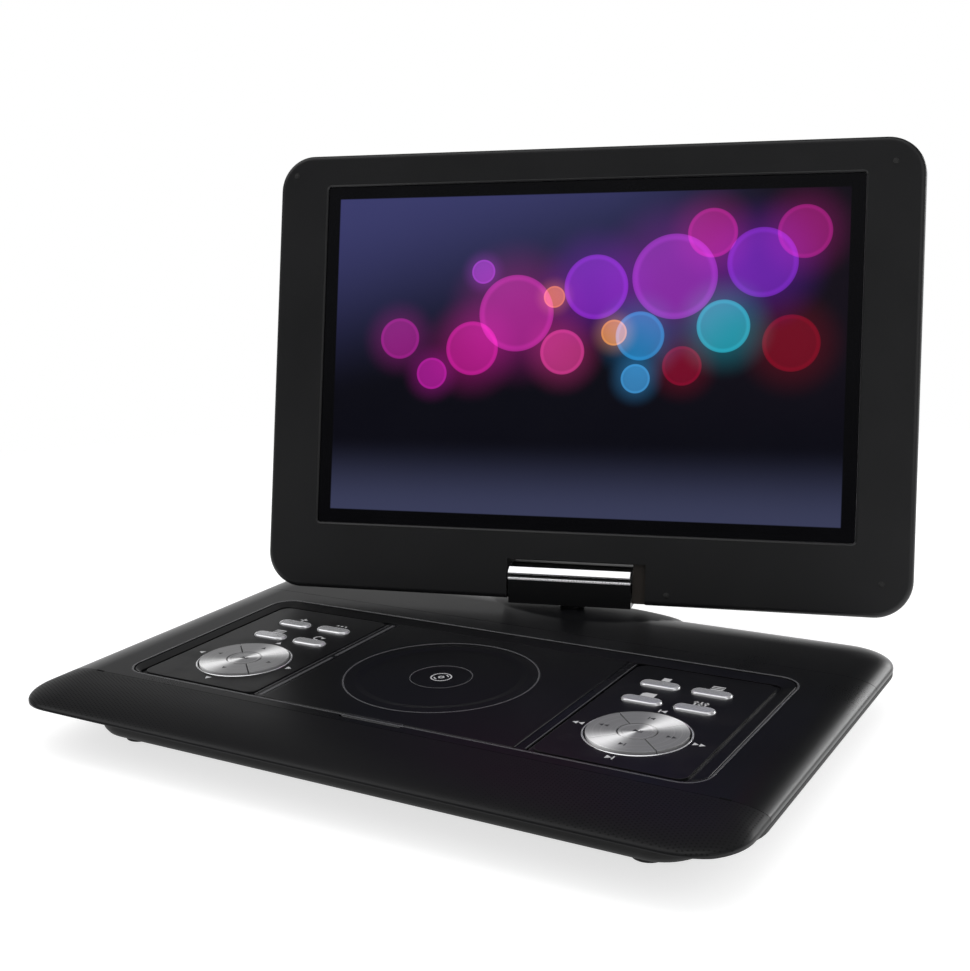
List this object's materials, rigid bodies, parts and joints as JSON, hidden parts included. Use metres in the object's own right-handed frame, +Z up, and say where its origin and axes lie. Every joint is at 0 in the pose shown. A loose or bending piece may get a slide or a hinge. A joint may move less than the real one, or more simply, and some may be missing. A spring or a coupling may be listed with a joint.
{
  "type": "portable disc player",
  "caption": "Portable disc player: a flat base with a disc lid, round key clusters and pill keys, carrying a wide screen on a hinge that swivels and tilts.",
  "frame": {"origin": "middle of the base's underside, on the raised label pad of the bottom housing; the rubber feet reach 2.3 mm below it", "axes": "+Z up, the front edge with the grille towards -Y, +X to the right of a person at the keys"},
  "size_m": [0.386, 0.3511, 0.2917],
  "materials": {
    "satin_black": "satin moulded",
    "gloss_black": "gloss",
    "grille_black": "perforated",
    "speaker_black": "painted",
    "spun_aluminium": "spun",
    "chrome": "polished",
    "steel": "plain",
    "rubber": "matte",
    "board_green": "solder mask",
    "cell_blue": "wrapped cells",
    "module_grey": "display module",
    "screen_glass": "dark gloss"
  },
  "bodies": {
    "base": {"front_grille": "grille_black", "top_cover": "satin_black", "rear_cover": "satin_black", "bottom_housing": "satin_black", "foot_1": "rubber", "foot_2": "rubber", "foot_3": "rubber", "foot_4": "rubber", "left_panel": "gloss_black", "right_panel": "gloss_black", "left_key_board": "board_green", "right_key_board": "board_green", "disc_well": "gloss_black", "drive_chassis": "steel", "guide_rod": "steel", "sled_motor": "steel", "spindle_motor": "steel", "main_board": "board_green", "battery_pack": "cell_blue", "left_speaker": "speaker_black", "right_speaker": "speaker_black", "jack_block": "satin_black", "usb_card_port": "steel", "swivel_bushing": "rubber"},
    "swivel": {"swivel_post": "steel", "hinge_barrel": "satin_black", "hinge_trim_upper": "chrome", "hinge_trim_lower": "chrome", "tilt_pin_left": "steel", "tilt_pin_right": "steel"},
    "screen": {"screen_bezel": "satin_black", "screen_rear_cover": "satin_black", "screen_glass": "screen_glass", "lcd_module": "module_grey", "hinge_bracket_left": "steel", "hinge_bracket_right": "steel"},
    "lid": {"disc_lid": "satin_black"},
    "open_tab": {"open_tab": "satin_black"},
    "left_key_1": {"left_key_1": "chrome"},
    "left_key_2": {"left_key_2": "chrome"},
    "left_key_3": {"left_key_3": "chrome"},
    "left_key_4": {"left_key_4": "chrome"},
    "right_key_1": {"right_key_1": "chrome"},
    "right_key_2": {"right_key_2": "chrome"},
    "right_key_3": {"right_key_3": "chrome"},
    "right_key_4": {"right_key_4": "chrome"},
    "left_dial_right": {"left_dial_right": "spun_aluminium"},
    "left_dial_back": {"left_dial_back": "spun_aluminium"},
    "left_dial_left": {"left_dial_left": "spun_aluminium"},
    "left_dial_front": {"left_dial_front": "spun_aluminium"},
    "left_dial_centre": {"left_dial_centre": "spun_aluminium"},
    "right_dial_right": {"right_dial_right": "spun_aluminium"},
    "right_dial_back": {"right_dial_back": "spun_aluminium"},
    "right_dial_left": {"right_dial_left": "spun_aluminium"},
    "right_dial_front": {"right_dial_front": "spun_aluminium"},
    "right_dial_centre": {"right_dial_centre": "spun_aluminium"},
    "power_switch": {"power_switch": "satin_black"},
    "turntable": {"turntable": "gloss_black"},
    "lead_screw": {"lead_screw": "steel"},
    "pickup": {"pickup_sled": "steel"}
  },
  "joints": [
    {"name": "screen_swivel", "type": "hinge", "parent": "base", "child": "swivel", "pos_m": [0.0047, 0.1175, 0.0415], "axis": [0, 0, 1], "range_deg": [-104.2, 165.8]},
    {"name": "screen_tilt", "type": "hinge", "parent": "swivel", "child": "screen", "pos_m": [0.0047, 0.1175, 0.0415], "axis": [0.9694, 0.2453, 0], "range_deg": [-76.7, 103.3]},
    {"name": "lid_hinge", "type": "hinge", "parent": "base", "child": "lid", "pos_m": [0, 0.0486, 0.0252], "axis": [-1, 0, 0], "range_deg": [0, 75]},
    {"name": "open_tab_press", "type": "slide", "parent": "base", "child": "open_tab", "axis": [0, 0, -1], "range_m": [0, 0.001], "stiffness_N_per_m": 400, "springref_m": -0.0005},
    {"name": "left_key_1_press", "type": "slide", "parent": "base", "child": "left_key_1", "axis": [0, 0, -1], "range_m": [0, 0.0006], "stiffness_N_per_m": 400, "springref_m": -0.0005},
    {"name": "left_key_2_press", "type": "slide", "parent": "base", "child": "left_key_2", "axis": [0, 0, -1], "range_m": [0, 0.0006], "stiffness_N_per_m": 400, "springref_m": -0.0005},
    {"name": "left_key_3_press", "type": "slide", "parent": "base", "child": "left_key_3", "axis": [0, 0, -1], "range_m": [0, 0.0006], "stiffness_N_per_m": 400, "springref_m": -0.0005},
    {"name": "left_key_4_press", "type": "slide", "parent": "base", "child": "left_key_4", "axis": [0, 0, -1], "range_m": [0, 0.0006], "stiffness_N_per_m": 400, "springref_m": -0.0005},
    {"name": "right_key_1_press", "type": "slide", "parent": "base", "child": "right_key_1", "axis": [0, 0, -1], "range_m": [0, 0.0006], "stiffness_N_per_m": 400, "springref_m": -0.0005},
    {"name": "right_key_2_press", "type": "slide", "parent": "base", "child": "right_key_2", "axis": [0, 0, -1], "range_m": [0, 0.0006], "stiffness_N_per_m": 400, "springref_m": -0.0005},
    {"name": "right_key_3_press", "type": "slide", "parent": "base", "child": "right_key_3", "axis": [0, 0, -1], "range_m": [0, 0.0006], "stiffness_N_per_m": 400, "springref_m": -0.0005},
    {"name": "right_key_4_press", "type": "slide", "parent": "base", "child": "right_key_4", "axis": [0, 0, -1], "range_m": [0, 0.0006], "stiffness_N_per_m": 400, "springref_m": -0.0005},
    {"name": "left_dial_right_press", "type": "slide", "parent": "base", "child": "left_dial_right", "axis": [0, 0, -1], "range_m": [0, 0.0006], "stiffness_N_per_m": 400, "springref_m": -0.0005},
    {"name": "left_dial_back_press", "type": "slide", "parent": "base", "child": "left_dial_back", "axis": [0, 0, -1], "range_m": [0, 0.0006], "stiffness_N_per_m": 400, "springref_m": -0.0005},
    {"name": "left_dial_left_press", "type": "slide", "parent": "base", "child": "left_dial_left", "axis": [0, 0, -1], "range_m": [0, 0.0006], "stiffness_N_per_m": 400, "springref_m": -0.0005},
    {"name": "left_dial_front_press", "type": "slide", "parent": "base", "child": "left_dial_front", "axis": [0, 0, -1], "range_m": [0, 0.0006], "stiffness_N_per_m": 400, "springref_m": -0.0005},
    {"name": "left_dial_centre_press", "type": "slide", "parent": "base", "child": "left_dial_centre", "axis": [0, 0, -1], "range_m": [0, 0.0006], "stiffness_N_per_m": 400, "springref_m": -0.0005},
    {"name": "right_dial_right_press", "type": "slide", "parent": "base", "child": "right_dial_right", "axis": [0, 0, -1], "range_m": [0, 0.0006], "stiffness_N_per_m": 400, "springref_m": -0.0005},
    {"name": "right_dial_back_press", "type": "slide", "parent": "base", "child": "right_dial_back", "axis": [0, 0, -1], "range_m": [0, 0.0006], "stiffness_N_per_m": 400, "springref_m": -0.0005},
    {"name": "right_dial_left_press", "type": "slide", "parent": "base", "child": "right_dial_left", "axis": [0, 0, -1], "range_m": [0, 0.0006], "stiffness_N_per_m": 400, "springref_m": -0.0005},
    {"name": "right_dial_front_press", "type": "slide", "parent": "base", "child": "right_dial_front", "axis": [0, 0, -1], "range_m": [0, 0.0006], "stiffness_N_per_m": 400, "springref_m": -0.0005},
    {"name": "right_dial_centre_press", "type": "slide", "parent": "base", "child": "right_dial_centre", "axis": [0, 0, -1], "range_m": [0, 0.0006], "stiffness_N_per_m": 400, "springref_m": -0.0005},
    {"name": "power_switch_slide", "type": "slide", "parent": "base", "child": "power_switch", "axis": [0, 1, 0], "range_m": [0, 0.005]},
    {"name": "turntable_spin", "type": "hinge", "parent": "base", "child": "turntable", "pos_m": [-0.006, -0.01, 0.018], "axis": [0, 0, 1], "continuous": true},
    {"name": "lead_screw_turn", "type": "hinge", "parent": "base", "child": "lead_screw", "pos_m": [-0.018, -0.04, 0.01575], "axis": [0, 1, 0], "range_deg": [-606, 2766]},
    {"name": "pickup_travel", "type": "slide", "parent": "base", "child": "pickup", "axis": [0, -1, 0], "range_m": [-0.005, 0.023]}
  ],
  "couplings": [
    {"joint": "lead_screw_turn", "follows": "pickup_travel", "rad_per_m": 2094.4}
  ]
}
